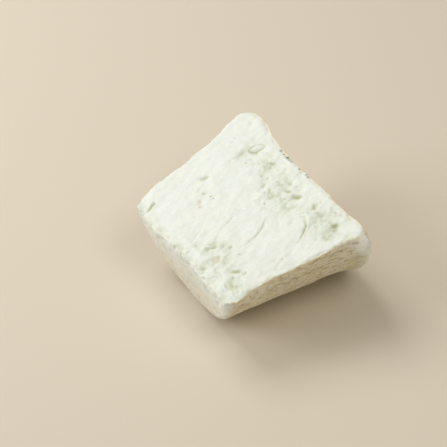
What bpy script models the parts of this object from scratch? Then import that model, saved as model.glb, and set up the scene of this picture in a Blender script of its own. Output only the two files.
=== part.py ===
"""Half of a pressed, salted ricotta wheel, lying on its curved side with the cut face up.

The wheel was drained in a tapered basket, so it is a blunt cone. It is worked out here in the
mould's own frame: X across the cut, Y out of the cut face, Z from the wide end to the narrow end.
It is then laid down so that the lowest line of the curved side is level.
"""

import math

import bmesh
import bpy
from mathutils import Matrix, Vector, noise

MM = 0.001

# The whole wheel
BASE_RADIUS = 97.5 * MM
TOP_RADIUS = 74.0 * MM
HEIGHT = 130.0 * MM
BASE_ROUND = 9.0 * MM
TOP_ROUND = 4.0 * MM

# The knife passed a little below the axis
CUT_BELOW_AXIS = 9.5 * MM

# The wide end's lip stands out from the cone, more on the right, and fades where the cheese
# lies on it
LIP_FLARE_LEFT = 1.5 * MM
LIP_FLARE_RIGHT = 4.3 * MM
LIP_LENGTH = 40.0 * MM
LIP_FADE_FROM = 0.86
LIP_FADE_TO = 0.99

# The cut's right corner at the wide end is broken back, and the lip bulges out below it
CORNER_BREAK = 8.0 * MM
CORNER_BREAK_FROM = 4.0 * MM
CORNER_BREAK_LENGTH = 38.0 * MM
CORNER_BREAK_DOWN = 5.0 * MM
CORNER_BREAK_SLOPE = 0.5
LIP_BULGE = 2.5 * MM
LIP_BULGE_DOWN = 13.0 * MM
LIP_BULGE_SIZE = 9.0 * MM
LIP_BULGE_FROM = 8.0 * MM
LIP_BULGE_LENGTH = 26.0 * MM

# Ribs that the basket pressed into the curved side. They are strong in some places and faint in others
RIBS_ROUND_WHEEL = 112
RIB_DEPTH = 0.8 * MM
RIB_FAINTEST = 0.2
RIB_MIDDLING = 0.65
RIB_UNEVENNESS = 0.5
RIB_PATCHES_ROUND = 3.0
RIB_PATCH_LENGTH = 30.0 * MM

# The side settles into a narrow level strip where it carries the weight, and is smooth there
REST_FLAT_DEPTH = 0.8 * MM
REST_SMOOTH_FROM = 0.97
REST_SMOOTH_TO = 0.99

# Shares of the radius between which the ends turn into the side, and how far down the cut's relief goes
SIDE_FROM = 0.955
SIDE_TO = 0.985
CUT_FADE = 1.5 * MM

# How fast what shifts a rim or an edge fades away from it
RIM_POWER = 6

# Low lumps all over the outside
LUMP_HEIGHT = 0.5 * MM
LUMP_SIZE = 35.0 * MM
SMALL_LUMP_SIZE = 12.0 * MM
SMALL_LUMP_SHARE = 0.6
END_LUMP_HEIGHT = 0.6 * MM

# The cut face swells a little and is smeared the way the knife went, which leans from the axis
SWELL_HEIGHT = 0.7 * MM
SWELL_SIZE = 45.0 * MM
SMEAR_HEIGHT = 0.3 * MM
SMEAR_WIDTH = 10.0 * MM
SMEAR_LENGTH = 45.0 * MM
KNIFE_LEAN = 0.3

# Spacing of the points that carry the relief
SIDE_ROWS = 14
RIM_STEPS = 3
CUT_SPACING = 3.3 * MM
NARROW_END_SPACING = 4.2 * MM
WIDE_END_SPACING = 6.0 * MM
SHORTEST_EDGE = 0.45 * MM
MERGE_DISTANCE = 0.01 * MM

# Edges that turn by more than this stay sharp
SHARP_ANGLE = 50.0

# Hollows in the cut face: place across, distance from the narrow end, radius, depth
HOLLOWS = [
    (-50.7, 111.8, 6.5, 1.6),
    (-53.7, 99.0, 5.0, 0.9),
    (-54.5, 62.5, 6.0, 1.8),
    (-38.4, 52.9, 4.0, 1.5),
    (-29.0, 54.3, 3.6, 1.2),
    (-33.3, 43.6, 4.5, 0.6),
    (11.3, 107.2, 5.5, 1.9),
    (23.9, 108.9, 5.0, 1.7),
    (51.7, 25.2, 5.5, 1.5),
    (33.4, 20.0, 5.0, 1.1),
    (28.7, 34.9, 4.0, 0.9),
    (70.5, 60.5, 3.6, 0.8),
]

# Cracks where the curd pulled apart: a start, an end, the half width and the depth
CRACKS = [
    ((-12.6, 43.9), (-4.0, 24.0), 1.3, 0.7),
    ((-4.0, 24.0), (3.0, 11.0), 1.3, 0.5),
    ((-1.8, 72.7), (3.2, 53.4), 1.2, 0.8),
    ((3.2, 53.4), (11.5, 31.0), 1.4, 1.1),
    ((24.8, 76.0), (33.8, 60.0), 2.0, 1.3),
    ((33.8, 60.0), (35.2, 44.0), 1.8, 1.7),
    ((50.2, 98.2), (58.4, 91.0), 1.6, 1.6),
    ((58.4, 91.0), (64.6, 79.5), 1.7, 2.2),
    ((-60.0, 13.7), (-57.8, 3.2), 2.2, 1.4),
]
CRACK_SCORES = (-1.3, 0.0, 1.3)

# Crumbly stretches: centre across, centre from the narrow end, half length across and along
CRUMBLY = [
    (20.0, 113.0, 66.0, 16.0),
    (38.0, 18.0, 30.0, 20.0),
    (-50.0, 106.0, 14.0, 12.0),
]
CRUMBLY_FROM = 0.6
CRUMBLY_TO = 1.15
CRUMB_HEIGHT = 1.5 * MM
CRUMB_SIZE = 7.0 * MM

# The sharp edges of the cut crumbled a little, more in some places than in others
EDGE_CRUMBLE = 1.5 * MM
EDGE_CRUMBLE_REACH = 5.0 * MM
EDGE_CRUMBLE_SIZE = 9.0 * MM
EDGE_CRUMBLE_LEAST = 0.5
EDGE_CRUMBLE_CHANGE = 0.9

# Where an edge of the cut stands out from the plain cone (+) or is broken back (-):
# the place along that edge, how far, and how long the stretch is
LEFT_EDGE = [(27.0, 2.1, 9.0), (58.0, -1.9, 9.0), (86.0, -1.4, 7.0), (112.0, 2.0, 7.0)]
RIGHT_EDGE = [(8.0, 4.6, 15.0), (42.0, -0.8, 8.0), (96.0, -1.3, 12.0)]
WIDE_EDGE = [(-78.0, 7.8, 24.0), (0.0, -1.4, 40.0), (62.0, -1.8, 26.0), (94.0, -1.2, 8.0)]
NARROW_EDGE = [(-40.0, 1.9, 20.0), (15.0, -1.6, 10.0), (66.0, 0.9, 9.0)]
EDGE_REACH_DOWN = 20.0 * MM
END_REACH_DOWN = 34.0 * MM

CUT, SIDE, NARROW_END, WIDE_END = 1, 2, 3, 4


def smooth_step(low, high, value):
    """0 below low, 1 above high, and an even rise between them."""
    share = min(max((value - low) / (high - low), 0.0), 1.0)
    return share * share * (3.0 - 2.0 * share)


def wave(x, y, seed, size_x, size_y=None):
    """Smooth unevenness from -1 to 1 whose lumps have the given size."""
    return noise.noise(Vector((x / size_x, y / (size_y or size_x), seed)))


def cone_radius(z):
    """Radius of the plain cone at height z."""
    return BASE_RADIUS + (TOP_RADIUS - BASE_RADIUS) * z / HEIGHT


def wheel_profile():
    """The wheel's outline from the narrow end's rim down to the wide end's rim."""
    points = []
    for step in range(RIM_STEPS + 1):
        angle = math.radians(90.0 * (1.0 - step / RIM_STEPS))
        x = TOP_RADIUS - TOP_ROUND + TOP_ROUND * math.cos(angle)
        z = HEIGHT - TOP_ROUND + TOP_ROUND * math.sin(angle)
        points.append((x, 0.0, z))
    for row in range(1, SIDE_ROWS):
        z = HEIGHT - TOP_ROUND - (HEIGHT - TOP_ROUND - BASE_ROUND) * row / SIDE_ROWS
        points.append((cone_radius(z), 0.0, z))
    for step in range(RIM_STEPS + 1):
        angle = math.radians(90.0 * step / RIM_STEPS)
        x = BASE_RADIUS - BASE_ROUND + BASE_ROUND * math.cos(angle)
        z = BASE_ROUND - BASE_ROUND * math.sin(angle)
        points.append((x, 0.0, z))
    return points


def turned_wheel():
    """The whole wheel's side and rims as a mesh, open at both ends."""
    points = wheel_profile()
    mesh = bpy.data.meshes.new("wheel_profile")
    mesh.from_pydata(points, [(i, i + 1) for i in range(len(points) - 1)], [])
    profile = bpy.data.objects.new("wheel_profile", mesh)
    bpy.context.scene.collection.objects.link(profile)
    screw = profile.modifiers.new("turn", "SCREW")
    screw.axis = "Z"
    screw.angle = math.tau
    screw.steps = 2 * RIBS_ROUND_WHEEL
    screw.render_steps = 2 * RIBS_ROUND_WHEEL
    screw.use_merge_vertices = True
    screw.merge_threshold = MERGE_DISTANCE
    graph = bpy.context.evaluated_depsgraph_get()
    turned = bpy.data.meshes.new_from_object(profile.evaluated_get(graph))
    bpy.data.objects.remove(profile)
    return turned


def close_holes(wheel, kind_layer, kind):
    """Closes each open edge loop with one face, marked as that kind of surface."""
    open_edges = [edge for edge in wheel.edges if edge.is_boundary]
    filled = bmesh.ops.holes_fill(wheel, edges=open_edges, sides=0)
    for face in filled["faces"]:
        face[kind_layer] = kind


def score(wheel, kind_layer, kind, direction, spacing, reach):
    """Splits one surface along evenly spaced planes square to a direction."""
    normal = Vector(direction).normalized()
    count = int(reach / spacing)
    for step in range(-count, count + 1):
        faces = [face for face in wheel.faces if face[kind_layer] == kind]
        edges = list({edge for face in faces for edge in face.edges})
        verts = list({vert for face in faces for vert in face.verts})
        bmesh.ops.bisect_plane(
            wheel,
            geom=verts + edges + faces,
            dist=SHORTEST_EDGE,
            plane_co=normal * (spacing * (step + 0.5)),
            plane_no=normal,
        )


def score_cracks(wheel, kind_layer):
    """Gives each crack a line of points along its bottom and one beside each lip."""
    for start, end, half_width, _ in CRACKS:
        low = Vector((start[0], 0.0, HEIGHT / MM - start[1])) * MM
        run = Vector((end[0], 0.0, HEIGHT / MM - end[1])) * MM - low
        sideways = run.cross(Vector((0.0, 1.0, 0.0))).normalized()
        reach = 2.0 * half_width * MM
        for aside in CRACK_SCORES:
            near = []
            for face in wheel.faces:
                middle = face.calc_center_median() - low
                share = middle.dot(run) / run.length_squared
                if face[kind_layer] == CUT and 0.0 < share < 1.0 and abs(middle.dot(sideways)) < reach:
                    near.append(face)
            edges = list({edge for face in near for edge in face.edges})
            verts = list({vert for face in near for vert in face.verts})
            bmesh.ops.bisect_plane(
                wheel,
                geom=verts + edges + near,
                dist=SHORTEST_EDGE,
                plane_co=low + sideways * (aside * half_width * MM),
                plane_no=sideways,
            )


def half_wheel_blank():
    """The cut wheel with plain surfaces, split finely enough to take the relief."""
    wheel = bmesh.new()
    turned = turned_wheel()
    wheel.from_mesh(turned)
    bpy.data.meshes.remove(turned)
    kind_layer = wheel.faces.layers.int.new("surface")
    for face in wheel.faces:
        face[kind_layer] = SIDE
    close_holes(wheel, kind_layer, WIDE_END)
    for face in wheel.faces:
        if face[kind_layer] == WIDE_END and face.calc_center_median().z > HEIGHT / 2.0:
            face[kind_layer] = NARROW_END
    bmesh.ops.bisect_plane(
        wheel,
        geom=wheel.verts[:] + wheel.edges[:] + wheel.faces[:],
        dist=SHORTEST_EDGE,
        plane_co=(0.0, -CUT_BELOW_AXIS, 0.0),
        plane_no=(0.0, 1.0, 0.0),
        clear_outer=True,
    )
    close_holes(wheel, kind_layer, CUT)
    score(wheel, kind_layer, CUT, (1.0, 0.0, 0.0), CUT_SPACING, BASE_RADIUS)
    score(wheel, kind_layer, CUT, (0.0, 0.0, 1.0), CUT_SPACING, HEIGHT)
    score_cracks(wheel, kind_layer)
    for kind, spacing in ((NARROW_END, NARROW_END_SPACING), (WIDE_END, WIDE_END_SPACING)):
        score(wheel, kind_layer, kind, (1.0, 0.0, 0.0), spacing, BASE_RADIUS)
        score(wheel, kind_layer, kind, (0.0, 1.0, 0.0), spacing, BASE_RADIUS)
    bmesh.ops.dissolve_degenerate(wheel, dist=SHORTEST_EDGE, edges=wheel.edges[:])
    bmesh.ops.triangulate(wheel, faces=wheel.faces[:])
    bmesh.ops.recalc_face_normals(wheel, faces=wheel.faces[:])
    return wheel


def hollow_depth(x, s):
    """How deep the hollows are at a point of the cut face."""
    deepest = 0.0
    for across, along, radius, depth in HOLLOWS:
        away = math.hypot(x - across * MM, s - along * MM) / (radius * MM)
        deepest = max(deepest, depth * MM * math.exp(-1.6 * away * away))
    return deepest


def crack_depth(x, s):
    """How deep the cracks are at a point of the cut face."""
    point = Vector((x, s))
    deepest = 0.0
    for start, end, half_width, depth in CRACKS:
        low = Vector(start) * MM
        run = Vector(end) * MM - low
        share = min(max((point - low).dot(run) / run.length_squared, 0.0), 1.0)
        away = (point - low - run * share).length / (half_width * MM)
        deepest = max(deepest, depth * MM * math.exp(-away * away))
    return deepest


def crumbliness(x, s):
    """1 inside the crumbly stretches of the cut face and 0 on the smeared ones."""
    most = 0.0
    for across, along, half_across, half_along in CRUMBLY:
        away = math.hypot((x / MM - across) / half_across, (s / MM - along) / half_along)
        most = max(most, 1.0 - smooth_step(CRUMBLY_FROM, CRUMBLY_TO, away))
    return most


def crumbled_edge(x, s):
    """How much has crumbled off the cut's edge at a point of the cut face."""
    inwards = min(cone_radius(HEIGHT - s) - abs(x), s, HEIGHT - s)
    lost = EDGE_CRUMBLE_LEAST + EDGE_CRUMBLE_CHANGE * wave(x, s, 4.4, EDGE_CRUMBLE_SIZE)
    return EDGE_CRUMBLE * max(lost, 0.0) * (1.0 - smooth_step(0.0, EDGE_CRUMBLE_REACH, inwards))


def cut_height(x, s):
    """Height of the cut face over its plane, s being the distance from the narrow end."""
    aside, ahead = x + KNIFE_LEAN * s, s - KNIFE_LEAN * x
    swell = SWELL_HEIGHT * wave(x, s, 1.7, SWELL_SIZE)
    smear = SMEAR_HEIGHT * wave(aside, ahead, 5.1, SMEAR_WIDTH, SMEAR_LENGTH)
    crumbs = CRUMB_HEIGHT * wave(x, s, 9.3, CRUMB_SIZE)
    raised = swell + smear + crumbliness(x, s) * crumbs
    return raised - hollow_depth(x, s) - crack_depth(x, s) - crumbled_edge(x, s)


def stretches(edge, place):
    """How far one edge of the cut stands out from the plain cone at a place along it."""
    total = 0.0
    for centre, amount, length in edge:
        total += amount * MM * math.exp(-(((place / MM - centre) / length) ** 2))
    return total


def lip_flare(z, across, downness):
    """How far the wide end's lip stands out, downness being 1 where the cheese lies on it."""
    to_right = smooth_step(-0.8, 0.8, across)
    flare = LIP_FLARE_LEFT + (LIP_FLARE_RIGHT - LIP_FLARE_LEFT) * to_right
    near_base = 1.0 - smooth_step(0.0, LIP_LENGTH, z)
    return flare * near_base * (1.0 - smooth_step(LIP_FADE_FROM, LIP_FADE_TO, downness))


def corner_break(z, below_cut):
    """How far the cut's right corner is broken back at a height and at a distance below the cut."""
    down = CORNER_BREAK_DOWN + CORNER_BREAK_SLOPE * z
    near_corner = 1.0 - smooth_step(CORNER_BREAK_FROM, CORNER_BREAK_LENGTH, z)
    return CORNER_BREAK * near_corner * (1.0 - smooth_step(0.0, down, below_cut))


def lip_bulge(z, below_cut):
    """How far the lip bulges out below the broken corner."""
    down = (below_cut - LIP_BULGE_DOWN) / LIP_BULGE_SIZE
    return LIP_BULGE * math.exp(-down * down) * (1.0 - smooth_step(LIP_BULGE_FROM, LIP_BULGE_LENGTH, z))


def rib_height(angle, z):
    """Height of the basket's ribs on the curved side, fading unevenly along and round it."""
    ridge = 0.5 * math.cos(angle * RIBS_ROUND_WHEEL)
    around = Vector((math.cos(angle), math.sin(angle), 0.0)) * RIB_PATCHES_ROUND
    strength = RIB_MIDDLING + RIB_UNEVENNESS * noise.noise(around + Vector((0.0, 0.0, z / RIB_PATCH_LENGTH)))
    return RIB_DEPTH * ridge * min(max(strength, RIB_FAINTEST), 1.0)


def with_relief(point):
    """The place of a plain surface point once the cheese's own unevenness is added."""
    x, y, z = point
    radius = math.hypot(x, y)
    across, up = x / radius, y / radius
    below_cut = -CUT_BELOW_AXIS - y
    s = HEIGHT - z
    share_out = radius / cone_radius(z)
    on_side = smooth_step(SIDE_FROM, SIDE_TO, share_out)
    on_cut = 1.0 - smooth_step(0.0, CUT_FADE, below_cut)
    near_side = share_out ** RIM_POWER
    at_edge = math.exp(-((below_cut / EDGE_REACH_DOWN) ** 2))
    at_end_edge = math.exp(-((below_cut / END_REACH_DOWN) ** 2))

    out = lip_flare(z, across, -up) * near_side
    if x > 0.0:
        out += (lip_bulge(z, below_cut) - corner_break(z, below_cut)) * near_side
    out += stretches(LEFT_EDGE if x < 0.0 else RIGHT_EDGE, s) * near_side * at_edge
    lumps = noise.noise(point / LUMP_SIZE) + SMALL_LUMP_SHARE * noise.noise(point / SMALL_LUMP_SIZE)
    on_rest = smooth_step(REST_SMOOTH_FROM, REST_SMOOTH_TO, -up)
    out += on_side * (1.0 - on_rest) * (rib_height(math.atan2(y, x), z) + LUMP_HEIGHT * lumps)

    near_wide = (1.0 - z / HEIGHT) ** RIM_POWER
    near_narrow = (z / HEIGHT) ** RIM_POWER
    along = near_narrow * stretches(NARROW_EDGE, x) * at_end_edge
    along -= near_wide * stretches(WIDE_EDGE, x) * at_end_edge
    along += (near_narrow - near_wide) * END_LUMP_HEIGHT * lumps
    return Vector((x + out * across, y + out * up + on_cut * cut_height(x, s), z + along))


def laid_down():
    """Turns the mould's frame so that the lowest line of the curved side is level at Z = 0."""
    dip = math.atan2(BASE_RADIUS - TOP_RADIUS, HEIGHT)
    lift = BASE_RADIUS * math.cos(dip) - REST_FLAT_DEPTH
    return Matrix.Translation((0.0, 0.0, lift)) @ Matrix.Rotation(math.radians(90.0) + dip, 4, "X")


def curd_material():
    """Moist white curd, a little warmer than milk."""
    material = bpy.data.materials.new("pressed_curd")
    material.use_nodes = True
    shader = material.node_tree.nodes["Principled BSDF"]
    shader.inputs["Base Color"].default_value = (0.82, 0.79, 0.66, 1.0)
    shader.inputs["Roughness"].default_value = 0.62
    shader.inputs["Metallic"].default_value = 0.0
    return material


def make_half_wheel(collection):
    """The half wheel as one solid, resting on Z = 0 with its box centred on X = Y = 0."""
    wheel = half_wheel_blank()
    placing = laid_down()
    for vert in wheel.verts:
        vert.co = placing @ with_relief(vert.co)
        vert.co.z = max(vert.co.z, 0.0)
    for axis in (0, 1):
        places = [vert.co[axis] for vert in wheel.verts]
        middle = (min(places) + max(places)) / 2.0
        for vert in wheel.verts:
            vert.co[axis] -= middle
    mesh = bpy.data.meshes.new("half_wheel")
    wheel.to_mesh(mesh)
    wheel.free()
    mesh.shade_smooth()
    mesh.set_sharp_from_angle(angle=math.radians(SHARP_ANGLE))
    mesh.materials.append(curd_material())
    half_wheel = bpy.data.objects.new("half_wheel", mesh)
    collection.objects.link(half_wheel)


for leftover in list(bpy.data.objects):
    bpy.data.objects.remove(leftover, do_unlink=True)
ricotta_salata = bpy.data.collections.new("ricotta_salata")
bpy.context.scene.collection.children.link(ricotta_salata)
make_half_wheel(ricotta_salata)
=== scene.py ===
import math

import bmesh
import bpy
from mathutils import Matrix, Vector, noise


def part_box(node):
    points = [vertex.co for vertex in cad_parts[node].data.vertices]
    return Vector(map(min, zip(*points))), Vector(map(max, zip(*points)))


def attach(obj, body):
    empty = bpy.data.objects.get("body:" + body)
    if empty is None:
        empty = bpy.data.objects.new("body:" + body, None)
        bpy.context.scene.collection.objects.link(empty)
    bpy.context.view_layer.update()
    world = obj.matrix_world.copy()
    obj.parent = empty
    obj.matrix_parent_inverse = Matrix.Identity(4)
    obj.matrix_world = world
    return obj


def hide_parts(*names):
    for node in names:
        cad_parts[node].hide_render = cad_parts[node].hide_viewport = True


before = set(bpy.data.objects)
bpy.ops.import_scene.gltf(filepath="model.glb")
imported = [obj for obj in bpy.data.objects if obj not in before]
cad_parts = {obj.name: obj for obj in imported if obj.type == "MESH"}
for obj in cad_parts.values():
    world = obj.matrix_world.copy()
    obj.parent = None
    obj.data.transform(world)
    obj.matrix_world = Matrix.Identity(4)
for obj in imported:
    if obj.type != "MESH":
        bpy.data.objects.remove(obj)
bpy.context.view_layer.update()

# The half wheel: ricotta curd, salted and pressed in a tapered basket until it holds together, then
# cut lengthwise with a long knife just under its axis. It is worked out in the mould's own frame,
# X across the cut, Y out of the cut face and Z from the wide end to the narrow one, then laid down.

MM = 0.001
BASE_RADIUS = 97.5 * MM
TOP_RADIUS = 74.0 * MM
HEIGHT = 130.0 * MM
BASE_ROUND = 9.0 * MM
TOP_ROUND = 4.0 * MM
CUT_BELOW_AXIS = 9.5 * MM
REST_FLAT_DEPTH = 0.8 * MM

# Places on the cut face are in mm, across from the axis and then from the narrow end. Long marks
# lean the way the knife went
KNIFE_LEAN = 0.3

# Crumbly stretches: centre, half length across and along, how crumbly, how far it lies below the rest
CRUMBLY = [
    (13.0, 101.0, 36.0, 25.0, 0.8, 0.6),
    (60.0, 107.0, 38.0, 24.0, 0.8, 0.0),
    (80.0, 112.0, 18.0, 18.0, 0.5, 0.0),
    (-46.0, 106.0, 25.0, 21.0, 0.6, 0.0),
    (-18.0, 112.0, 34.0, 20.0, 0.6, 0.0),
    (27.0, 22.0, 36.0, 25.0, 0.85, 0.0),
    (64.0, 14.0, 26.0, 19.0, 0.6, 0.0),
    (74.0, 52.0, 15.0, 28.0, 0.4, 0.0),
    (-40.0, 50.0, 18.0, 20.0, 0.3, 0.0),
]
CRUMBLY_FROM = 0.25
CRUMBLY_TO = 1.10
LOWER_FROM = 0.75
LOWER_TO = 0.95
SMEARED_CRUMBS = 0.12

# Waves are lists of height, seed, size in mm and, where they are longer than wide, length. Patches
# are middle, change, seed, size, least and most. Spots are the wave's height where they start and
# where they are full, seed and size
CRUMBLY_OUTLINE = [(0.45, 6.6, 9.0), (0.25, 2.9, 4.0)]
CRUMBLY_PATCHES = (0.85, 0.9, 4.2, 11.0, 0.35, 1.15)
PITS = (0.42, 0.60, 12.5, 3.0)
PIT_DEPTH = 0.7
# The scattered spots are grey-green painted shade on the crumbly stretches
SHADED_SPOTS = (0.0, 0.4, 11.3, 12.0)
SHADED_STRENGTH = 0.5

# The curd's lumps, crumbs, grit and grains: seed and size in mm, how high they stand in mm, and how
# much painted shade darkens the dips between them
LUMPS = (6.1, 9.0)
LUMP_RISE = 2.0
LUMP_SHADE = 0.9
CRUMBS = (3.8, 4.4)
CRUMB_RISE = 1.1
CRUMB_SHADE = 0.9
GRIT = (14.2, 2.4)
GRIT_RISE = 0.35
GRIT_SHADE = 0.4
GRAINS = (0.6, 1.9)
GRAIN_RISE = 0.25
GRAIN_STEEPNESS = 1.4
GAP_SHADE = 0.2

# The smeared parts, in mm: the whole face's swell, streaks and swells that the knife left, and thin
# layers that end in small steps. Little of them is left where the curd is crumbly
FACE_SWELL = [(0.7, 1.7, 45.0)]
KNIFE_STREAKS = [(0.3, 5.1, 10.0, 45.0), (0.12, 6.3, 5.0, 20.0), (0.04, 8.9, 2.1, 9.0)]
KNIFE_SWELLS = [(0.8, 7.2, 15.0), (0.3, 2.4, 6.0)]
KNIFE_LAYERS = [(3.0, 1.3, 16.0, 44.0)]
LAYER_EDGES = [(0.4, 4.9, 4.0)]
LAYER_HEIGHT = 0.3
LAYER_ENDS_FROM = 0.86
SMEARS_LOST = 0.7

# Soft folds near the narrow end's right corner: centre, half length across and along
FOLDS = (62.0, 11.0, 26.0, 14.0)
FOLDS_FADE_FROM = 0.6
FOLD_HEIGHT = 0.22
FOLD_SPACING = 4.2
FOLD_WANDER = [(5.0, 3.9, 9.0)]

# Hollows: centre, half width, half length, degrees that its length is turned from the axis, depth
HOLLOWS = [
    (-53.8, 99.0, 3.2, 8.0, -4.0, 0.8),
    (-54.0, 61.6, 3.0, 6.4, 24.0, 1.0),
    (-46.0, 62.5, 1.2, 2.6, 40.0, 0.4),
    (-39.1, 51.4, 1.0, 1.5, 24.0, 0.9),
    (-37.4, 53.4, 0.9, 1.1, 0.0, 0.8),
    (-31.2, 54.4, 1.1, 1.3, 0.0, 1.0),
    (-28.5, 54.8, 0.9, 1.4, 0.0, 0.9),
    (-33.0, 43.0, 4.0, 5.0, 0.0, 0.35),
    (-41.9, 97.7, 0.9, 1.3, 0.0, 0.9),
    (-43.3, 102.7, 0.8, 1.0, 0.0, 0.6),
    (-71.7, 101.1, 0.9, 1.1, 0.0, 0.6),
    (-73.4, 104.3, 0.9, 1.1, 0.0, 0.6),
    (-39.3, 118.0, 1.1, 1.8, 40.0, 0.7),
    (-33.0, 106.0, 1.2, 6.0, 40.0, 0.35),
    (-78.5, 122.0, 2.0, 2.4, 0.0, 0.6),
    (-14.8, 101.8, 1.8, 2.2, 0.0, 0.9),
    (-9.6, 94.3, 1.8, 4.0, -20.0, 1.0),
    (-1.7, 91.1, 1.1, 1.2, 0.0, 0.9),
    (8.2, 83.6, 1.2, 1.4, 0.0, 1.0),
    (22.0, 84.8, 1.1, 1.3, 0.0, 0.8),
    (39.7, 98.3, 1.2, 1.6, 50.0, 0.9),
    (-2.1, 95.5, 1.0, 1.2, 0.0, 0.7),
    (12.9, 97.9, 1.0, 1.2, 0.0, 0.6),
    (0.5, 106.0, 2.2, 5.5, 62.0, 0.7),
    (10.8, 106.4, 2.4, 4.6, 62.0, 1.3),
    (22.5, 108.6, 3.0, 4.6, 50.0, 1.5),
    (43.2, 111.1, 2.6, 4.0, 60.0, 0.6),
    (50.2, 110.4, 2.4, 4.6, 60.0, 0.8),
    (62.1, 112.0, 1.6, 6.0, 50.0, 0.5),
    (69.0, 112.0, 1.6, 3.0, 50.0, 0.4),
    (71.0, 100.0, 2.0, 4.4, 30.0, 0.4),
    (78.0, 104.0, 1.1, 2.2, 40.0, 0.45),
    (84.0, 112.0, 1.2, 3.2, 50.0, 0.4),
    (-58.6, 9.5, 2.0, 6.6, -14.0, 0.7),
    (53.5, 25.4, 2.6, 6.6, 43.0, 1.5),
    (30.0, 22.6, 2.6, 3.6, 20.0, 0.9),
    (34.0, 20.0, 1.4, 1.6, 0.0, 0.6),
    (17.5, 24.5, 2.0, 4.0, 30.0, 0.8),
    (13.0, 24.0, 1.5, 3.0, 60.0, 0.7),
    (28.4, 36.1, 1.3, 1.7, 0.0, 1.0),
    (41.0, 37.5, 1.2, 3.0, 45.0, 0.7),
    (56.6, 20.2, 1.0, 1.1, 0.0, 0.7),
    (69.5, 60.1, 1.0, 1.5, 45.0, 0.7),
    (71.6, 56.4, 1.5, 1.8, 45.0, 0.45),
    (76.6, 51.0, 1.3, 2.6, 45.0, 0.5),
    (48.1, 65.4, 0.8, 1.0, 0.0, 0.4),
]
HOLLOW_EDGE = 1.4
OVAL_REACH = 2.2

# Lumps that the knife left standing, given as the hollows are
MOUNDS = [
    (-50.5, 112.9, 2.4, 4.4, 18.0, 0.4),
    (-45.0, 66.5, 2.2, 5.0, 24.0, 0.4),
    (33.5, 28.4, 4.6, 6.5, -10.0, 1.0),
    (48.0, 30.5, 2.2, 8.0, 45.0, 0.9),
    (13.9, 19.0, 2.6, 3.0, 0.0, 0.8),
    (15.2, 13.4, 2.4, 3.0, 0.0, 0.6),
    (25.0, 112.5, 2.6, 6.0, 50.0, 0.6),
    (53.0, 103.5, 3.0, 6.0, 50.0, 0.6),
    (60.6, 88.5, 1.1, 5.5, -36.0, 0.5),
    (-6.5, 104.3, 1.6, 1.8, 0.0, 0.6),
]

# A ring pressed into the face near the wide end, given as the hollows are, and how soft its edge is
RING = (-50.5, 112.9, 3.4, 6.9, 18.0, 0.75)
RING_SOFTNESS = 0.24
RING_UNEVENNESS = [(0.15, 8.1, 4.0)]

# Cracks where the curd pulled apart, point by point: place, half width, depth
CRACKS = [
    [(-10.3, 35.4, 0.7, 0.1), (-3.8, 23.2, 0.7, 0.5), (1.6, 11.8, 0.6, 0.3)],
    [(-0.8, 71.0, 0.6, 0.1), (2.0, 54.0, 0.7, 0.7), (5.0, 45.0, 0.7, 0.6), (10.0, 32.7, 0.6, 0.3)],
    [(23.7, 75.0, 2.0, 0.2), (29.3, 67.7, 2.0, 0.8), (32.1, 62.9, 1.3, 0.9), (34.3, 51.3, 0.7, 0.8),
     (35.0, 42.5, 0.6, 0.3)],
    [(45.4, 99.4, 1.8, 0.6), (54.8, 95.1, 1.0, 1.1), (58.4, 89.6, 0.7, 1.4), (65.0, 80.5, 0.6, 0.5)],
    [(-61.0, 14.3, 1.2, 1.1), (-58.6, 6.0, 1.5, 0.6), (-58.0, 3.8, 1.2, 0.1)],
]
CRACK_LIP = 0.35
CRACK_LIP_AWAY = 2.2
CRACK_REACH = 6.0
CRACK_SHARPNESS = 1.3
CRACK_WANDER = [(0.7, 2.2, 5.0), (0.4, 5.7, 1.8)]

# Marks with a warm stain: place, radius, strength
STAINS = [
    (-34.3, 44.2, 1.3, 0.6),
    (-32.0, 41.8, 1.1, 0.4),
    (-28.6, 41.0, 1.5, 0.7),
    (-39.0, 51.5, 1.3, 0.35),
    (69.5, 60.1, 1.2, 0.35),
    (32.5, 20.5, 3.2, 0.25),
    (28.4, 36.1, 1.5, 0.25),
    (60.5, 88.0, 1.6, 0.25),
]
STAIN_REACH = 2.5

# The worn edges of the cut: how far the mesh is rounded, and how much has crumbled off, in mm
EDGE_ROUND_REACH = 3.6 * MM
EDGE_ROUND_PASSES = 9
EDGE_CRUMBLE = 1.3
EDGE_CRUMBLE_REACH = 4.0 * MM
EDGE_LOSS = 0.5
EDGE_LOSS_WAVES = [(0.9, 4.4, 9.0), (0.5, 7.7, 3.0)]

# The narrow end's edge is worn most, down from the cut and back from the end, in mm
NARROW_ROUND_REACH = 8.0 * MM
NARROW_ROUND_PASSES = 24
NARROW_WEAR_DOWN = 2.8
NARROW_WEAR_BACK = 1.3
NARROW_WEAR_FROM = -4.2 * MM
NARROW_WEAR_REACH = 14.0 * MM
NARROW_WEAR_LEAST = 0.1
NARROW_WEAR_WAVES = [(1.2, 3.3, 21.0), (0.7, 9.1, 9.0), (0.4, 5.2, 4.5)]
NARROW_EDGE_CRUMBS = 0.65

# The narrow end's face is crumbly for some way down, with small holes, and turns from the inside's
# white to the outside's cream there, which also paints it darker towards the bottom as shade
NARROW_PART = 0.9
NARROW_FACE_FROM = 7.0 * MM
NARROW_FACE_TO = 2.5 * MM
NARROW_CRUMBS_FROM = 6.0 * MM
NARROW_CRUMBS_REACH = 30.0 * MM
NARROW_PATCHES = (0.7, 0.8, 2.7, 14.0, 0.2, 1.0)
NARROW_ROUGHNESS = [(1.6, 1.9, 8.0), (1.1, 8.3, 3.6)]
NARROW_HOLES = (0.16, 0.42, 6.4, 3.8)
NARROW_HOLE_DEPTH = 0.7
NARROW_HOLE_SHADE = 0.6
NARROW_CREAM_AND_SHADE = 0.68
NARROW_CREAM_AND_SHADE_DOWN = 50.0 * MM

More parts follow.
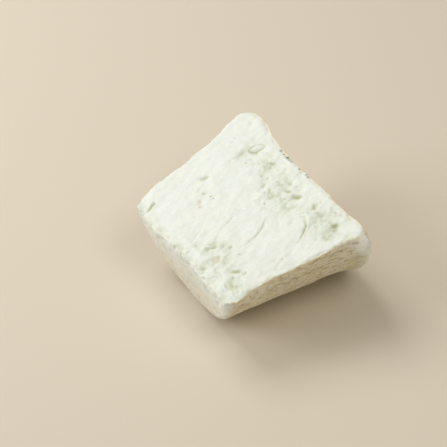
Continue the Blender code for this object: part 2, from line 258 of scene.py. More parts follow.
# The colour's streaks are drawn out along the knife's way on the cut face and along the side. On the
# two ends they are larger, fainter patches
CUT_STREAK_STRETCH = 0.14
SIDE_STREAK_STRETCH = 0.28
END_PATCH_SCALE = 0.3
END_PATCH_STRENGTH = 0.4

# The cut's right corner at the wide end is broken back, and below it the lip bulges out. Its crumbs
# are given as height and size in mm
CORNER_BREAK = 8.0 * MM
CORNER_BREAK_FROM = 4.0 * MM
CORNER_BREAK_LENGTH = 38.0 * MM
CORNER_BREAK_DOWN = 5.0 * MM
CORNER_BREAK_SLOPE = 0.5
LIP_BULGE = 2.5 * MM
LIP_BULGE_DOWN = 13.0 * MM
LIP_BULGE_SIZE = 9.0 * MM
LIP_BULGE_FROM = 7.8 * MM
LIP_BULGE_LENGTH = 26.0 * MM
LIP_CRUMBS = [(1.3, 6.5), (0.8, 2.8)]
# The lip and the wide end's rim are painted paler: partly a paler rind there, partly painted light on the lip
LIP_PALENESS_AND_LIGHT = 0.8

# Dark specks on the rind along the wide end's cut edge: how far they lie from it in mm, and then
# each one's place across and radius
SPECK_INWARDS = 1.8
SPECKS = [
    (-33.0, 1.2),
    (-27.5, 0.9),
    (-22.0, 1.5),
    (-18.5, 1.1),
    (-15.0, 1.0),
    (-3.0, 1.0),
    (7.0, 0.9),
    (10.0, 0.8),
]
SPECK_REACH = 5.0 * MM

# The rims of the cut are ragged; dried rind and a painted highlight make a cream line along them
RAGGED_EDGE = 1.5
RAGGED_WAVES = [(0.5, 7.0), (0.5, 2.8)]
RAGGED_POWER = 30
RAGGED_REACH = 5.0 * MM
RAGGED_WIDE_RIM = 0.5
RIND_AND_HIGHLIGHT_DOWN = 4.5 * MM
RIND_WIDTH = 2.6 * MM

# Where an edge of the cut stands out or is broken back, in mm: place, how far, length
LEFT_EDGE = [(27.0, 2.1, 9.0), (58.0, -1.9, 9.0), (86.0, -1.4, 7.0), (112.0, 2.0, 7.0)]
RIGHT_EDGE = [(8.0, 4.6, 15.0), (42.0, -0.8, 8.0), (96.0, -1.3, 12.0)]
WIDE_EDGE = [(-78.0, 7.8, 24.0), (0.0, -1.4, 40.0), (62.0, -1.8, 26.0), (94.0, -1.2, 8.0)]
NARROW_EDGE = [(-40.0, 1.9, 20.0), (15.0, -1.6, 10.0), (66.0, 0.9, 9.0)]
EDGE_REACH_DOWN = 20.0 * MM
END_REACH_DOWN = 34.0 * MM
RIM_POWER = 6
END_POWER = 6

# The wide end's lip stands out from the cone and fades where the cheese lies on it, and its rim
# swells a little just above its rounding
LIP_FLARE_LEFT = 1.5 * MM
LIP_FLARE_RIGHT = 4.3 * MM
LIP_LENGTH = 40.0 * MM
LIP_FADE_FROM = 0.86
LIP_FADE_TO = 0.99
RIM_SWELL = 1.6 * MM
LIP_RIGHT_FROM = -0.8
LIP_RIGHT_TO = 0.8

# The basket's marks, in mm: ribs along the side, crossed by its weft, and a net on the two ends. They
# are clearer in some patches than in others
RIBS_ROUND_WHEEL = 150
RIB_HEIGHT = 0.55
RIBS_FROM = 4.0 * MM
RIBS_FULL = 18.0 * MM
RIB_WANDER = [(0.30, 5.3, 8.0, 26.0)]
RIB_DRAG = [(0.9, 3.7, 2.2, 16.0)]
RIB_FAINTEST = 0.2
RIB_MIDDLING = 0.65
RIB_UNEVENNESS = 0.5
RIB_PATCHES_ROUND = 3.0
RIB_PATCH_LENGTH = 30.0 * MM
WEFT_SPACING = 9.5
WEFT_SHARE = 0.3
NET_SPACING = 7.0
NET_DEPTH = 0.5

# The outside's low swells: height and size of their waves, and how high they stand in mm
SWELL_WAVES = [(1.0, 35.0), (0.6, 12.0)]
SIDE_SWELL = 0.5
END_SWELL = 0.6

# Where the side, the cut face, the wide end's face and the strip that it lies on begin and end
SIDE_FROM = 0.955
SIDE_TO = 0.985
CUT_FADE = 1.5 * MM
WIDE_FACE_FROM = 0.1 * MM
WIDE_FACE_TO = 0.5 * MM
REST_FROM = 0.97
REST_TO = 0.99

# The mesh is even all over, and finer where the cut face has small marks
WHEEL_SEGMENTS = 288
BASE_ROUND_SEGMENTS = 8
TOP_ROUND_SEGMENTS = 5
MESH_SPACING = 1.08 * MM
RIM_TOLERANCE = 0.01 * MM
CUT_TOLERANCE = 0.1 * MM
FINE_MESH_DEPTH = 0.06
FINE_MESH_CRUMBLY = 0.42


def smooth_step(low, high, value):
    """0 below low, 1 above high, and an even rise between them."""
    share = min(max((value - low) / (high - low), 0.0), 1.0)
    return share * share * (3.0 - 2.0 * share)


def cone_radius(z):
    """Radius of the plain cone at height z."""
    return BASE_RADIUS + (TOP_RADIUS - BASE_RADIUS) * z / HEIGHT


def wave(x, y, seed, size_x, size_y=None):
    """Smooth unevenness from -1 to 1 whose lumps have the given size in mm."""
    return noise.noise(Vector((x / (size_x * MM), y / ((size_y or size_x) * MM), seed)))


def waves(x, y, layers):
    """Waves of several sizes added up."""
    return sum(height * wave(x, y, seed, *sizes) for height, seed, *sizes in layers)


def waves_through(point, layers):
    """Waves that run through the whole cheese added up, each given as its height and size in mm."""
    return sum(height * noise.noise(point / (size * MM)) for height, size in layers)


def patches(x, y, middle, change, seed, size, least, most):
    """A share that changes from patch to patch within two limits."""
    return min(max(middle + change * wave(x, y, seed, size), least), most)


def spots(x, y, low, high, seed, size):
    """Scattered spots, 1 inside and 0 between them."""
    return smooth_step(low, high, wave(x, y, seed, size))


def grains(x, y, seed, size):
    """Height of curd grains packed side by side, 0 in the gaps and 1 on their rounded tops."""
    distances = noise.voronoi(Vector((x / (size * MM), y / (size * MM), seed)))[0]
    return math.sqrt(min(GRAIN_STEEPNESS * (distances[1] - distances[0]), 1.0))


def from_oval(x, s, across, along, half_width, half_length, turn):
    """How far a point of the cut face is from an oval's centre, as a share of the oval."""
    aside, ahead = x / MM - across, s / MM - along
    lean = math.radians(turn)
    wide = aside * math.cos(lean) - ahead * math.sin(lean)
    long = aside * math.sin(lean) + ahead * math.cos(lean)
    return math.hypot(wide / half_width, long / half_length)


def along_knife(x, s):
    """A point of the cut face as its distances across and along the knife's way."""
    length = math.hypot(1.0, KNIFE_LEAN)
    return (x + KNIFE_LEAN * s) / length, (s - KNIFE_LEAN * x) / length


def crumbliness(x, s):
    """How crumbly the cut face is at a point, from 0 where it is smeared, and how far it lies lower."""
    ragged = waves(x, s, CRUMBLY_OUTLINE)
    patchy = patches(x, s, *CRUMBLY_PATCHES)
    most, lower = SMEARED_CRUMBS, 0.0
    for across, along, half_across, half_along, strength, depth in CRUMBLY:
        away = math.hypot((x / MM - across) / half_across, (s / MM - along) / half_along) + ragged
        if away < CRUMBLY_TO:
            inside = 1.0 - smooth_step(CRUMBLY_FROM, CRUMBLY_TO, away)
            most = max(most, strength * inside * patchy)
            lower = max(lower, depth * (1.0 - smooth_step(LOWER_FROM, LOWER_TO, away)))
    return most, lower


def ovals_height(x, s, ovals):
    """The most that any of some ovals stands out or in at a point of the cut face, in mm."""
    most = 0.0
    for *oval, amount in ovals:
        away = from_oval(x, s, *oval)
        if away < OVAL_REACH:
            most = max(most, amount * math.exp(-HOLLOW_EDGE * away * away))
    return most


def ring_depth(x, s):
    """How deep the pressed ring is at a point of the cut face, in mm."""
    away = from_oval(x, s, *RING[:5]) + waves(x, s, RING_UNEVENNESS)
    return RING[5] * math.exp(-(((away - 1.0) / RING_SOFTNESS) ** 2))


def crack_marks(x, s):
    """How deep the cracks are at a point of the cut face and how far their lips stand up, in mm."""
    px = x / MM + waves(x, s, CRACK_WANDER)
    py = s / MM
    deepest = raised = 0.0
    for crack in CRACKS:
        for (x0, y0, width0, depth0), (x1, y1, width1, depth1) in zip(crack, crack[1:]):
            run_x, run_y = x1 - x0, y1 - y0
            length = math.hypot(run_x, run_y)
            share = ((px - x0) * run_x + (py - y0) * run_y) / length ** 2
            share = min(max(share, 0.0), 1.0)
            off_x, off_y = px - x0 - run_x * share, py - y0 - run_y * share
            width = width0 + (width1 - width0) * share
            away = math.hypot(off_x, off_y) / width
            if away > CRACK_REACH:
                continue
            depth = depth0 + (depth1 - depth0) * share
            deepest = max(deepest, depth * math.exp(-away ** CRACK_SHARPNESS))
            if run_x * off_y - run_y * off_x > 0.0:
                lip = CRACK_LIP * min(depth, 1.0) * math.exp(-((away - CRACK_LIP_AWAY) ** 2))
                raised = max(raised, lip)
    return deepest, raised


def stain(x, s):
    """How strongly a point of the cut face is stained."""
    most = 0.0
    for across, along, radius, strength in STAINS:
        away = math.hypot(x / MM - across, s / MM - along) / radius
        if away < STAIN_REACH:
            most = max(most, strength * math.exp(-away * away))
    return most


def knife_smears(x, s):
    """Height of the knife's marks, in mm: low streaks, and thin layers that end in small steps."""
    aside, along = along_knife(x, s)
    height = waves(aside, along, KNIFE_STREAKS) + waves(x, s, KNIFE_SWELLS)
    layers = waves(aside, along, KNIFE_LAYERS) + waves(x, s, LAYER_EDGES)
    rise = layers - math.floor(layers)
    return height + LAYER_HEIGHT * (rise - smooth_step(LAYER_ENDS_FROM, 1.0, rise))


def fold_height(x, s):
    """Height of the soft folds at a point of the cut face, in mm."""
    across, along, half_across, half_along = FOLDS
    away = math.hypot((x / MM - across) / half_across, (s / MM - along) / half_along)
    turn = (s / MM + waves(x, s, FOLD_WANDER)) / FOLD_SPACING
    return FOLD_HEIGHT * (1.0 - smooth_step(FOLDS_FADE_FROM, 1.0, away)) * math.sin(math.tau * turn)


def crumbled_edge(x, s):
    """How much has crumbled off the cut's edge at a point of the cut face, in mm."""
    inwards = min(cone_radius(HEIGHT - s) - abs(x), s, HEIGHT - s)
    lost = max(EDGE_LOSS + waves(x, s, EDGE_LOSS_WAVES), 0.0)
    return EDGE_CRUMBLE * lost * (1.0 - smooth_step(0.0, EDGE_CRUMBLE_REACH, inwards))


def narrow_wear(x, inwards):
    """How much a face is worn near the narrow end's cut edge, as a share, going inwards from it."""
    lost = max(1.0 + waves(x, inwards, NARROW_WEAR_WAVES), NARROW_WEAR_LEAST)
    return lost * (1.0 - smooth_step(NARROW_WEAR_FROM, NARROW_WEAR_REACH, inwards))


def narrow_crumbs(x, below_cut):
    """Height of the crumbs on the narrow end's face in mm, and the painted shade of its holes and dips."""
    share = 1.0 - smooth_step(NARROW_CRUMBS_FROM, NARROW_CRUMBS_REACH, below_cut)
    share *= patches(x, below_cut, *NARROW_PATCHES)
    rough = waves(x, below_cut, NARROW_ROUGHNESS)
    holes = spots(x, below_cut, *NARROW_HOLES) * share
    return share * rough - NARROW_HOLE_DEPTH * holes, holes + share * max(-rough, 0.0)


def corner_break(z, below_cut):
    """How far the cut's right corner is broken back at a height and at a distance below the cut."""
    down = CORNER_BREAK_DOWN + CORNER_BREAK_SLOPE * z
    along = 1.0 - smooth_step(CORNER_BREAK_FROM, CORNER_BREAK_LENGTH, z)
    return CORNER_BREAK * along * (1.0 - smooth_step(0.0, down, below_cut))


def share_of_lip(z, below_cut):
    """How much of the lip's bulge there is on the right side, at a distance below the cut."""
    down = (below_cut - LIP_BULGE_DOWN) / LIP_BULGE_SIZE
    return math.exp(-down * down) * (1.0 - smooth_step(LIP_BULGE_FROM, LIP_BULGE_LENGTH, z))


def speck(x, z, below_cut):
    """How strongly a point near the wide end's cut edge is darkened by a speck."""
    most = 0.0
    for across, radius in SPECKS:
        away = math.hypot(x / MM - across, z / MM - SPECK_INWARDS, below_cut / MM) / radius
        most = max(most, math.exp(-away ** 2))
    return most


def cut_marks(x, s):
    """Height of the cut face over its plane in mm, how crumbly and stained it is, and its painted shade."""
    crumbly, lower = crumbliness(x, s)
    at_narrow_end = 1.0 - smooth_step(0.0, NARROW_WEAR_REACH, s)
    crumbly = max(crumbly, NARROW_EDGE_CRUMBS * at_narrow_end)
    lumps, crumbs = wave(x, s, *LUMPS), wave(x, s, *CRUMBS)
    grit, gaps = wave(x, s, *GRIT), 1.0 - grains(x, s, *GRAINS)
    rough = LUMP_RISE * lumps + CRUMB_RISE * crumbs + GRIT_RISE * grit - GRAIN_RISE * gaps
    pits = PIT_DEPTH * spots(x, s, *PITS) * crumbly
    cracks, lips = crack_marks(x, s)
    holes = max(ovals_height(x, s, HOLLOWS), ring_depth(x, s), pits) + cracks
    height = waves(x, s, FACE_SWELL) + (1.0 - SMEARS_LOST * crumbly) * knife_smears(x, s)
    height += crumbly * rough + ovals_height(x, s, MOUNDS) + lips + fold_height(x, s)
    height -= lower + holes + crumbled_edge(x, s) + NARROW_WEAR_DOWN * narrow_wear(x, s)
    # Painted shade: the dips between lumps, crumbs, grit and grains, the holes, cracks and spots are darker
    dips = max(-LUMP_SHADE * lumps - CRUMB_SHADE * crumbs - GRIT_SHADE * grit, 0.0) + GAP_SHADE * gaps
    sunk_shade = holes + crumbly * (dips + SHADED_STRENGTH * spots(x, s, *SHADED_SPOTS))
    return height, crumbly, sunk_shade, stain(x, s)


def stretches(edge, place):
    """How far one edge of the cut stands out from the plain cone at a place along it."""
    total = 0.0
    for centre, amount, length in edge:
        total += amount * MM * math.exp(-(((place / MM - centre) / length) ** 2))
    return total


def lip_flare(z, across, downness):
    """How far the wide end's lip stands out, downness being 1 where the cheese lies on it."""
    to_right = smooth_step(LIP_RIGHT_FROM, LIP_RIGHT_TO, across)
    flare = LIP_FLARE_LEFT + (LIP_FLARE_RIGHT - LIP_FLARE_LEFT) * to_right
    flare *= 1.0 - smooth_step(0.0, LIP_LENGTH, z)
    above_rounding = 1.0 - smooth_step(BASE_ROUND, 2.0 * BASE_ROUND, z)
    swell = RIM_SWELL * smooth_step(0.0, BASE_ROUND, z) * above_rounding
    return swell + flare * (1.0 - smooth_step(LIP_FADE_FROM, LIP_FADE_TO, downness))


def basket_marks(angle, z):
    """Height of the basket's marks on the curved side, from about -1 to 1."""
    round_side = angle * BASE_RADIUS
    turn = angle * RIBS_ROUND_WHEEL / math.tau + waves(round_side, z, RIB_WANDER)
    rib = math.floor(turn)
    ridge = math.cos(math.tau * (turn - rib))
    weft = math.cos(math.tau * z / (WEFT_SPACING * MM) + math.pi * rib)
    return ridge * (1.0 - WEFT_SHARE + WEFT_SHARE * weft) + waves(round_side, z, RIB_DRAG)


def net_marks(x, y):
    """Height of the net's marks on the ends, from -1 to 1."""
    one = math.cos(math.tau * (x + y) / (NET_SPACING * MM))
    other = math.cos(math.tau * (x - y) / (NET_SPACING * MM))
    return one * other


def clearness(across, up, z):
    """How clearly the basket left its marks, as a share."""
    patch = Vector((RIB_PATCHES_ROUND * across, RIB_PATCHES_ROUND * up, z / RIB_PATCH_LENGTH))
    return min(max(RIB_MIDDLING + RIB_UNEVENNESS * noise.noise(patch), RIB_FAINTEST), 1.0)


def with_relief(point):
    """A surface point's place once the cheese's own marks are added, and what its finish needs."""
    x, y, z = point
    radius = math.hypot(x, y)
    across, up = x / radius, y / radius
    angle = math.atan2(y, x)
    below_cut = max(-CUT_BELOW_AXIS - y, 0.0)
    s = HEIGHT - z
    share_out = radius / cone_radius(z)
    on_side = smooth_step(SIDE_FROM, SIDE_TO, share_out)
    on_cut = 1.0 - smooth_step(0.0, CUT_FADE, below_cut)
    at_edge = math.exp(-((below_cut / EDGE_REACH_DOWN) ** 2))
    at_end_edge = math.exp(-((below_cut / END_REACH_DOWN) ** 2))
    at_rim = 1.0 - smooth_step(0.0, RAGGED_REACH, below_cut)
    on_rest = smooth_step(REST_FROM, REST_TO, -up)
    on_narrow = smooth_step(HEIGHT - NARROW_FACE_FROM, HEIGHT - NARROW_FACE_TO, z) * (1.0 - on_cut)
    on_wide = (1.0 - smooth_step(WIDE_FACE_FROM, WIDE_FACE_TO, z)) * (1.0 - on_cut)
    on_lip = share_of_lip(z, below_cut) if x > 0.0 else 0.0
    near_rim = 1.0 - smooth_step(RIBS_FROM, RIBS_FULL, z)
    swells = waves_through(point, SWELL_WAVES)
    ragged = waves_through(point, RAGGED_WAVES)
    clear = clearness(across, up, z)
    marks = basket_marks(angle, z) * (1.0 - near_rim) if on_side > 0.0 else 0.0

    out = lip_flare(z, across, -up) + stretches(LEFT_EDGE if x < 0.0 else RIGHT_EDGE, s) * at_edge
    if x > 0.0:
        out += on_lip * (LIP_BULGE + waves_through(point, LIP_CRUMBS) * MM) - corner_break(z, below_cut)
    out *= share_out ** RIM_POWER
    out += RAGGED_EDGE * MM * ragged * share_out ** RAGGED_POWER * at_rim
    low_relief = RIB_HEIGHT * clear * marks + SIDE_SWELL * (1.0 + near_rim) * swells
    low_relief += RAGGED_WIDE_RIM * near_rim * ragged
    out += on_side * (1.0 - on_rest) * low_relief * MM

    near_wide = (1.0 - z / HEIGHT) ** END_POWER
    near_narrow = (z / HEIGHT) ** END_POWER
    along = near_narrow * stretches(NARROW_EDGE, x) * at_end_edge
    along -= near_wide * stretches(WIDE_EDGE, x) * at_end_edge
    along += (near_narrow - near_wide) * END_SWELL * MM * swells
    along += (on_narrow - on_wide) * NET_DEPTH * MM * net_marks(x, y) * clear
    along -= (1.0 - z / HEIGHT) ** RAGGED_POWER * RAGGED_EDGE * MM * ragged * at_rim
    along -= smooth_step(NARROW_PART, 1.0, z / HEIGHT) * NARROW_WEAR_BACK * MM * narrow_wear(x, below_cut)
    # The narrow end's holes and the dips between its crumbs get painted shade
    end_crumbs, end_hole_shade = narrow_crumbs(x, below_cut) if z > NARROW_PART * HEIGHT else (0.0, 0.0)
    along += on_narrow * end_crumbs * MM

    height = crumbly = sunk_shade = stained = 0.0
    if on_cut > 0.0:
        height, crumbly, sunk_shade, stained = cut_marks(x, s)
    inwards = min(cone_radius(z) - abs(x), z)
    # The narrow end turns creamer and darker downwards: partly the outside's cream, partly painted shade
    cream_and_shade = NARROW_CREAM_AND_SHADE * smooth_step(0.0, NARROW_CREAM_AND_SHADE_DOWN, below_cut)
    # Paler lip and wide rim: partly a paler rind, partly painted light
    paler_and_lit = LIP_PALENESS_AND_LIGHT * max(near_rim, on_lip) * on_side
    # Cream line at the cut's rims: dried rind, and a painted highlight where it runs down the side
    on_rind_and_highlight = (1.0 - smooth_step(0.0, RIND_WIDTH, inwards)) * (1.0 - smooth_step(0.0, RIND_AND_HIGHLIGHT_DOWN, below_cut))
    finish = {
        "outside": (1.0 - on_cut) * (1.0 - on_narrow * (1.0 - cream_and_shade)) * (1.0 - paler_and_lit),
        "crumbly": on_cut * crumbly,
        "sunk_shade": on_cut * sunk_shade + NARROW_HOLE_SHADE * on_narrow * end_hole_shade,
        # Painted shade in the basket's grooves on the side
        "grooves": (1.0 - on_cut) * max(-marks * clear, 0.0) * on_side,
        "streaked": END_PATCH_STRENGTH + (1.0 - END_PATCH_STRENGTH) * on_side,
        "rind_and_highlight": on_rind_and_highlight,
        "stained": on_cut * stained,
        "speckled": speck(x, z, below_cut) if z < SPECK_REACH else 0.0,
    }
    if on_cut > 0.5:
        aside, ahead = along_knife(x, s)
        streak_place = (aside, 0.0, ahead * CUT_STREAK_STRETCH)
    elif on_side < 0.5:
        streak_place = point * END_PATCH_SCALE
    else:
        streak_place = (angle * BASE_RADIUS, radius, z * SIDE_STREAK_STRETCH)
    place = Vector((x + out * across, y + out * up + on_cut * height * MM, z + along))
    return place, finish, streak_place


def round_rim(wheel, z, size, segments):
    """Rounds the wheel's rim at height z in edit mode."""
    bpy.ops.mesh.select_all(action="DESELECT")
    bpy.ops.mesh.select_mode(type="EDGE")
    cage = bmesh.from_edit_mesh(wheel.data)
    for edge in cage.edges:
        edge.select = all(abs(vert.co.z - z) < RIM_TOLERANCE for vert in edge.verts)
    bmesh.update_edit_mesh(wheel.data)
    bpy.ops.mesh.bevel(offset=size, segments=segments, affect="EDGES")


def round_cut_edge(wheel, reach, passes, top_only):
    """Smooths the worn edge of the cut in edit mode, all round it or at the narrow end alone."""
    bpy.ops.mesh.select_mode(type="VERT")
    bpy.ops.mesh.select_all(action="DESELECT")
    cage = bmesh.from_edit_mesh(wheel.data)
    for vert in cage.verts:
        x, y, z = vert.co
        inwards = HEIGHT - z if top_only else min(cone_radius(z) - math.hypot(x, y), z, HEIGHT - z)
        vert.select = max(-CUT_BELOW_AXIS - y, inwards) < reach
    cage.select_flush_mode()
    bmesh.update_edit_mesh(wheel.data)
    bpy.ops.mesh.vertices_smooth(factor=0.5, repeat=passes)


def has_small_marks(place):
    """Whether the cut face has marks at a place that need a finer mesh."""
    x, s = place.x, HEIGHT - place.z
    if place.y < -CUT_BELOW_AXIS - CUT_TOLERANCE:
        return False
    depth = ovals_height(x, s, HOLLOWS) + ring_depth(x, s) + crack_marks(x, s)[0]
    return depth > FINE_MESH_DEPTH or crumbliness(x, s)[0] > FINE_MESH_CRUMBLY


bpy.ops.object.select_all(action="DESELECT")
bpy.ops.mesh.primitive_cone_add(
    vertices=WHEEL_SEGMENTS,
    radius1=BASE_RADIUS,
    radius2=TOP_RADIUS,
    depth=HEIGHT,
    end_fill_type="NGON",
    location=(0.0, 0.0, HEIGHT / 2.0),
)
wheel = bpy.context.object
wheel.name = "curd_half_wheel"
bpy.ops.object.transform_apply(location=True, rotation=True, scale=True)
bpy.ops.object.mode_set(mode="EDIT")
round_rim(wheel, 0.0, BASE_ROUND, BASE_ROUND_SEGMENTS)
round_rim(wheel, HEIGHT, TOP_ROUND, TOP_ROUND_SEGMENTS)
bpy.ops.mesh.select_all(action="SELECT")
bpy.ops.mesh.bisect(
    plane_co=(0.0, -CUT_BELOW_AXIS, 0.0),
    plane_no=(0.0, 1.0, 0.0),
    use_fill=True,
    clear_outer=True,
)
bpy.ops.object.mode_set(mode="OBJECT")
even_mesh = wheel.modifiers.new("even_mesh", "REMESH")
even_mesh.mode = "VOXEL"
even_mesh.voxel_size = MESH_SPACING
bpy.ops.object.modifier_apply(modifier="even_mesh")
bpy.ops.object.mode_set(mode="EDIT")
round_cut_edge(wheel, EDGE_ROUND_REACH, EDGE_ROUND_PASSES, False)
round_cut_edge(wheel, NARROW_ROUND_REACH, NARROW_ROUND_PASSES, True)
bpy.ops.mesh.select_mode(type="FACE")
bpy.ops.mesh.select_all(action="DESELECT")
cage = bmesh.from_edit_mesh(wheel.data)
for face in cage.faces:
    face.select = has_small_marks(face.calc_center_median())
bmesh.update_edit_mesh(wheel.data)
bpy.ops.mesh.subdivide(number_cuts=1)
bpy.ops.object.mode_set(mode="OBJECT")

# The mould's frame is laid down so that the lowest line of the curved side is level
dip = math.atan2(BASE_RADIUS - TOP_RADIUS, HEIGHT)
lift = BASE_RADIUS * math.cos(dip) - REST_FLAT_DEPTH
laid_down = Matrix.Translation((0.0, 0.0, lift)) @ Matrix.Rotation(math.radians(90.0) + dip, 4, "X")

finish_values = {}
streak_places = []
for vert in wheel.data.vertices:
    place, finish, streak_place = with_relief(vert.co)
    vert.co = laid_down @ place
    vert.co.z = max(vert.co.z, 0.0)
    for name, value in finish.items():
        finish_values.setdefault(name, []).append(value)
    streak_places.extend(streak_place)
for name, values in finish_values.items():
    wheel.data.attributes.new(name, "FLOAT", "POINT").data.foreach_set("value", values)
wheel.data.attributes.new("streak_place", "FLOAT_VECTOR", "POINT").data.foreach_set("vector", streak_places)

lowest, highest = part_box("half_wheel")
settle = Vector((0.0, 0.0, 0.0))
for axis in (0, 1):
    places = [vert.co[axis] for vert in wheel.data.vertices]
    settle[axis] = (lowest[axis] + highest[axis] - min(places) - max(places)) / 2.0
wheel.data.transform(Matrix.Translation(settle))
laid_down = Matrix.Translation(settle) @ laid_down
wheel.data.shade_smooth()


def linear(hex_colour):
    """A linear RGBA colour from an sRGB hex value."""
    shares = [int(hex_colour[i:i + 2], 16) / 255.0 for i in (1, 3, 5)]
    return [c / 12.92 if c <= 0.04045 else ((c + 0.055) / 1.055) ** 2.4 for c in shares] + [1.0]


def add_node(tree, kind, settings=None, inputs=None, links=None):
    """Adds one node with its settings, its inputs' values and the links into it."""
    node = tree.nodes.new(kind)
    for name, value in (settings or {}).items():
        setattr(node, name, value)
    for name, value in (inputs or {}).items():
        node.inputs[name].default_value = value
    for name, socket in (links or {}).items():
        tree.links.new(socket, node.inputs[name])
    return node


# The paste's colours on the cut face, and then those of the pressed outside
CURD_WHITE = "#F3F6EE"
CURD_GREYER = "#E7ECE1"
CURD_CRUMBLY = "#E4E9D9"
# The colour of the painted shade in holes, cracks and dips
CURD_HOLLOW_SHADE = "#B5B98A"
STAIN_COLOUR = "#D9A87E"
PRESSED_CREAM = "#EDE4C6"
PRESSED_PALER = "#EFEAD6"
# A darker tan for the outside's streaks and blotches, also painted into the basket's grooves as shade
PRESSED_TAN_AND_GROOVE_SHADE = "#AB9868"
PRESSED_LIGHT = "#FBF7E6"
RIND_CREAM_AND_HIGHLIGHT = "#FDF7DA"
SPECK_COLOUR = "#4F5542"

# The sizes of the patterns in the colour and in the bump, in mm
STREAK_SIZE = 2.4
FINE_STREAK_SIZE = 1.2
BLOTCH_SIZE = 14.0
SMALL_BLOTCH_SIZE = 3.0
BUMP_GRAIN_SIZE = 1.1
BUMP_CRUMB_SIZE = 2.2
BUMP_DEPTH = 0.22

# How a pattern turns into colour: where it starts, where it is full and how strong it is there
GREYER_STREAKS = (0.45, 0.75, 0.5)
GREYER_BLOTCHES = (0.5, 0.7, 0.5)
CRUMBLY_BLOTCHES = (0.5, 0.72, 0.35)
SUNK_SHADING = (0.1, 1.7, 0.9)
PALER_BLOTCHES = (0.42, 0.62, 1.0)
DARK_STREAKS = (0.48, 0.68, 0.7)
LIGHT_STREAKS = (0.55, 0.72, 0.5)
GROOVE_SHADING = (0.0, 1.2, 0.85)
DARK_BLOTCHES = (0.52, 0.68, 0.5)
CUT_STREAK_BUMP = 0.3


def own_value(tree, name):
    """One of the values that the mesh carries at its points."""
    return add_node(tree, "ShaderNodeAttribute", {"attribute_name": name}).outputs["Fac"]


def unevenness(tree, place, size, detail=2.0):
    """Noise from 0 to 1 whose lumps have the given size in mm."""
    scale = 1.0 / (size * MM)
    inputs = {"Scale": scale, "Detail": detail, "Roughness": 0.55}
    return add_node(tree, "ShaderNodeTexNoise", {}, inputs, {"Vector": place}).outputs["Fac"]


def between(tree, value, low, high, most):
    """0 where a value is below low, rising evenly to most where it is above high."""
    inputs = {"From Min": low, "From Max": high, "To Max": most}
    settings = {"interpolation_type": "SMOOTHSTEP"}
    return add_node(tree, "ShaderNodeMapRange", settings, inputs, {"Value": value}).outputs["Result"]


def blend(tree, share, first, second):
    """A colour between two others, each a hex value or a node's output."""
    inputs, links = {}, {0: share}
    for socket, colour in ((6, first), (7, second)):
        if isinstance(colour, str):
            inputs[socket] = linear(colour)
        else:
            links[socket] = colour
    return add_node(tree, "ShaderNodeMix", {"data_type": "RGBA"}, inputs, links).outputs[2]


def calculate(tree, operation, first, second):
    """One sum of two values, each a number or a node's output."""
    inputs, links = {}, {}
    for socket, value in enumerate((first, second)):
        (inputs if isinstance(value, float) else links)[socket] = value
    return add_node(tree, "ShaderNodeMath", {"operation": operation}, inputs, links).outputs[0]


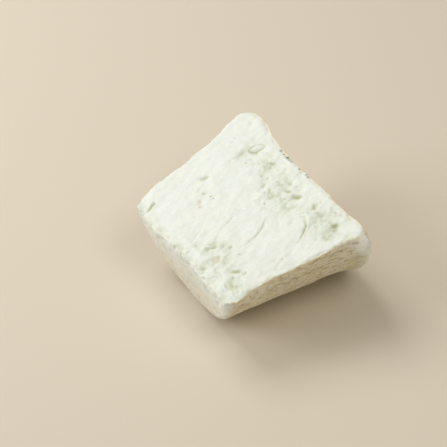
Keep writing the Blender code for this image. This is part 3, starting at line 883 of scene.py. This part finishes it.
def salted_ricotta_curd():
    """Salted ricotta: white, moist, matte paste that light sinks into a little, with holes painted in shade.
    """
    material = bpy.data.materials.new("salted_ricotta_curd")
    material.use_nodes = True
    tree = material.node_tree
    shader = tree.nodes["Principled BSDF"]
    shader.inputs["Roughness"].default_value = 0.55
    shader.inputs["IOR"].default_value = 1.42
    shader.inputs["Specular IOR Level"].default_value = 0.35
    shader.inputs["Subsurface Weight"].default_value = 0.2
    shader.inputs["Subsurface Radius"].default_value = (1.0, 0.8, 0.5)
    shader.inputs["Subsurface Scale"].default_value = 1.2 * MM

    place = add_node(tree, "ShaderNodeTexCoord").outputs["Object"]
    streak_place = add_node(tree, "ShaderNodeAttribute", {"attribute_name": "streak_place"}).outputs["Vector"]
    crumbly = own_value(tree, "crumbly")
    outside_share = own_value(tree, "outside")
    streaks = unevenness(tree, streak_place, STREAK_SIZE, 3.0)
    fine_streaks = unevenness(tree, streak_place, FINE_STREAK_SIZE)
    blotches = unevenness(tree, place, BLOTCH_SIZE, 3.0)
    small_blotches = unevenness(tree, place, SMALL_BLOTCH_SIZE)

    inside = blend(tree, between(tree, streaks, *GREYER_STREAKS), CURD_WHITE, CURD_GREYER)
    inside = blend(tree, between(tree, blotches, *GREYER_BLOTCHES), inside, CURD_GREYER)
    inside = blend(tree, between(tree, small_blotches, *CRUMBLY_BLOTCHES), inside, CURD_CRUMBLY)
    inside = blend(tree, crumbly, inside, CURD_CRUMBLY)
    # Holes, cracks and dips on the cut face get painted shade
    inside = blend(tree, between(tree, own_value(tree, "sunk_shade"), *SUNK_SHADING), inside, CURD_HOLLOW_SHADE)
    inside = blend(tree, own_value(tree, "stained"), inside, STAIN_COLOUR)

    dark_streaks = between(tree, streaks, *DARK_STREAKS)
    dark_streaks = calculate(tree, "MULTIPLY", dark_streaks, own_value(tree, "streaked"))
    # The basket's grooves on the side are painted in shade
    grooves = between(tree, own_value(tree, "grooves"), *GROOVE_SHADING)
    outside = blend(tree, between(tree, blotches, *PALER_BLOTCHES), PRESSED_CREAM, PRESSED_PALER)
    outside = blend(tree, dark_streaks, outside, PRESSED_TAN_AND_GROOVE_SHADE)
    outside = blend(tree, between(tree, fine_streaks, *LIGHT_STREAKS), outside, PRESSED_LIGHT)
    outside = blend(tree, grooves, outside, PRESSED_TAN_AND_GROOVE_SHADE)
    outside = blend(tree, between(tree, small_blotches, *DARK_BLOTCHES), outside, PRESSED_TAN_AND_GROOVE_SHADE)

    colour = blend(tree, outside_share, inside, outside)
    # The rims' cream line: dried rind, partly a painted highlight of the rounded edge
    colour = blend(tree, own_value(tree, "rind_and_highlight"), colour, RIND_CREAM_AND_HIGHLIGHT)
    colour = blend(tree, own_value(tree, "speckled"), colour, SPECK_COLOUR)
    tree.links.new(colour, shader.inputs["Base Color"])

    crumbs = calculate(tree, "MULTIPLY", unevenness(tree, place, BUMP_CRUMB_SIZE, 3.0), crumbly)
    streak_bump = calculate(tree, "MULTIPLY", outside_share, 1.0 - CUT_STREAK_BUMP)
    streak_bump = calculate(tree, "ADD", streak_bump, CUT_STREAK_BUMP)
    height = calculate(tree, "ADD", unevenness(tree, place, BUMP_GRAIN_SIZE, 3.0), crumbs)
    height = calculate(tree, "ADD", height, calculate(tree, "MULTIPLY", fine_streaks, streak_bump))
    bump_values = {"Strength": 0.6, "Distance": BUMP_DEPTH * MM}
    bump = add_node(tree, "ShaderNodeBump", {}, bump_values, {"Height": height})
    tree.links.new(bump.outputs["Normal"], shader.inputs["Normal"])
    return material


wheel.data.materials.clear()
wheel.data.materials.append(salted_ricotta_curd())
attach(wheel, "root")
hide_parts("half_wheel")

# The floor is a plain pale sheet that the cheese lies on, wide enough that no edge of it shows.
# It is smooth matte board, so it takes only a soft shadow.

FLOOR_SIZE = 6.0
FLOOR_DROP = 0.05 * MM
FLOOR_COLOUR = "#E0D5C2"

bpy.ops.object.select_all(action="DESELECT")
bpy.ops.mesh.primitive_plane_add(size=FLOOR_SIZE, location=(0.0, 0.0, -FLOOR_DROP))
floor = bpy.context.object
floor.name = "floor"
bpy.ops.object.transform_apply(location=True, rotation=True, scale=True)
board = bpy.data.materials.new("matte_board")
board.use_nodes = True
board.node_tree.nodes["Principled BSDF"].inputs["Base Color"].default_value = linear(FLOOR_COLOUR)
board.node_tree.nodes["Principled BSDF"].inputs["Roughness"].default_value = 0.9
floor.data.materials.append(board)

# The camera stands where the photograph's stood, as seen from the cheese: high over its right side
# and narrow end. Its place is given in the mould's frame, from the wide end's centre.

CAMERA_FROM_MOULD = Vector((989.9, 1067.9, 395.9)) * MM
CAMERA_RIGHT = Vector((0.5202, -0.2405, -0.8195))
CAMERA_BACK = Vector((0.6610, 0.7208, 0.2085))
SENSOR = 36.0
LENS = 145.0

camera_back = (laid_down.to_3x3() @ CAMERA_BACK).normalized()
camera_right = laid_down.to_3x3() @ CAMERA_RIGHT
camera_up = camera_back.cross(camera_right).normalized()
camera_right = camera_up.cross(camera_back)
camera_turn = Matrix((camera_right, camera_up, camera_back)).transposed().to_4x4()
camera_data = bpy.data.cameras.new("camera")
camera_data.sensor_width = SENSOR
camera_data.lens = LENS
camera_data.clip_end = 20.0
camera = bpy.data.objects.new("camera", camera_data)
camera.matrix_world = Matrix.Translation(laid_down @ CAMERA_FROM_MOULD) @ camera_turn
bpy.context.scene.collection.objects.link(camera)
bpy.context.scene.camera = camera

# Soft studio light: two large lamps on the left and at the narrow end light the cut face and that end
# and leave the right side in shade. A card above and a weak warm one low on the right soften it, and
# an even pale surround fills the shadows.

SURROUND_COLOUR = "#FAFAF7"
SURROUND_STRENGTH = 0.30


def lamp(name, towards, distance, size, power, colour):
    """A square lamp that hangs in a direction from the cheese and shines on it."""
    data = bpy.data.lights.new(name, "AREA")
    data.size = size
    data.energy = power
    data.color = linear(colour)[:3]
    light = bpy.data.objects.new(name, data)
    direction = Vector(towards).normalized()
    light.location = direction * distance
    light.rotation_euler = direction.to_track_quat("Z", "Y").to_euler()
    bpy.context.scene.collection.objects.link(light)


lamp("key_lamp", (-0.65, -0.10, 0.95), 1.6, 0.9, 10.0, "#FFFDF9")
lamp("fill_lamp", (-0.60, -1.0, 0.65), 2.0, 1.2, 17.0, "#FAFBFF")
lamp("top_card", (0.60, 0.25, 1.0), 1.6, 0.7, 5.0, "#FFF8EC")
lamp("side_card", (1.0, 0.25, 0.22), 1.5, 0.8, 0.45, "#FFD08C")
surround = bpy.data.worlds.new("surround")
surround.use_nodes = True
surround.node_tree.nodes["Background"].inputs["Color"].default_value = linear(SURROUND_COLOUR)
surround.node_tree.nodes["Background"].inputs["Strength"].default_value = SURROUND_STRENGTH
bpy.context.scene.world = surround
bpy.context.scene.view_settings.view_transform = "Standard"

bpy.context.view_layer.update()
